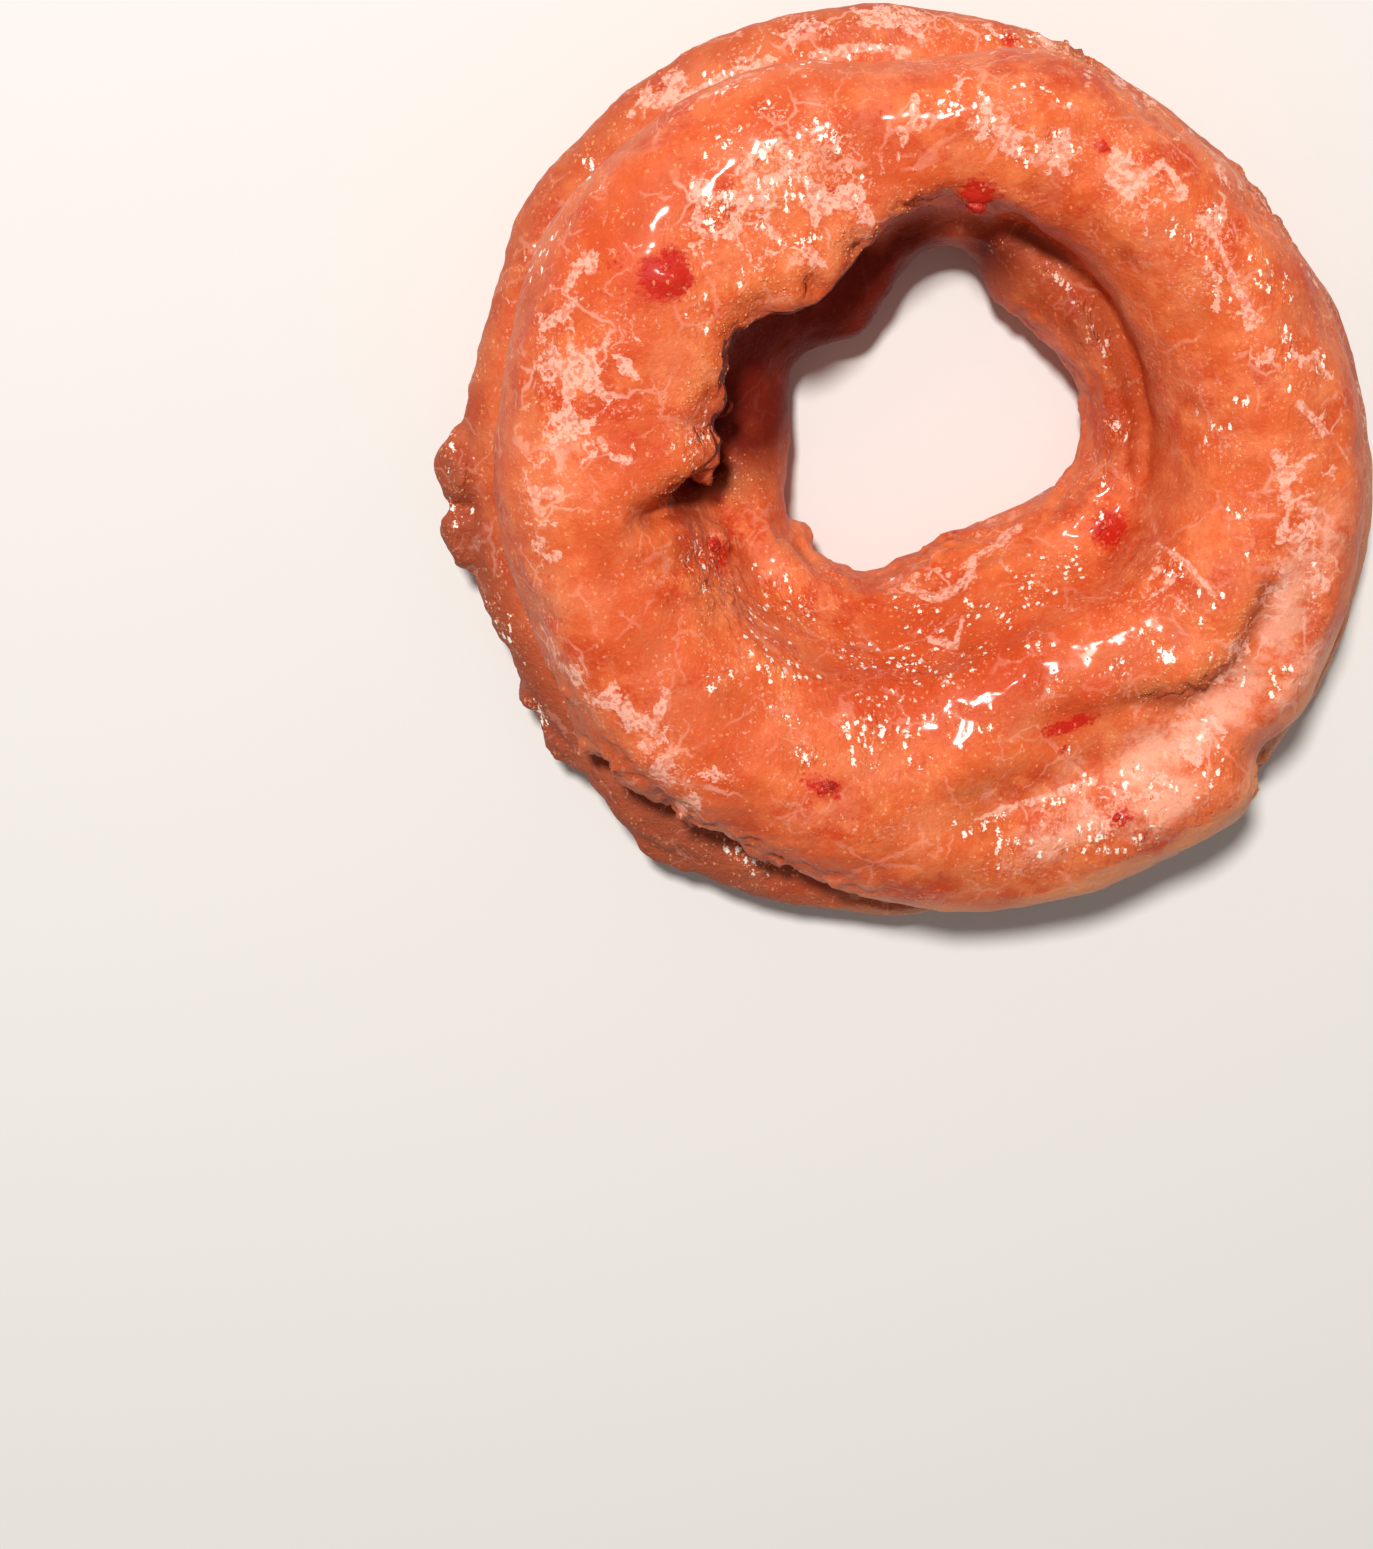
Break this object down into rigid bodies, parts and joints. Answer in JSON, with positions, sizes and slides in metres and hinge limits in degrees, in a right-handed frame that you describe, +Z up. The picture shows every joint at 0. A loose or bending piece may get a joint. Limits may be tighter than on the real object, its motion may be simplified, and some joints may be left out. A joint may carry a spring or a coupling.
{
  "type": "cherry cake doughnut",
  "caption": "Large glazed cake doughnut with bits of cherry: an uneven ring with a cracked upper crust, a split round its side and a ragged central hole.",
  "frame": {"origin": "middle of the whole box, on the surface that the doughnut rests on", "axes": "+Z up through the hole, out of the cracked side; +Y towards the side opposite the dropped petal of crust; +X to the right as seen from above"},
  "size_m": [0.1084, 0.1056, 0.0336],
  "materials": {
    "glazed_crust": "orange fried crust under a thin clear sugar glaze, with pale pink dried sugar and red cherry stains"
  },
  "bodies": {
    "root": {"doughnut": "glazed_crust"}
  },
  "joints": []
}
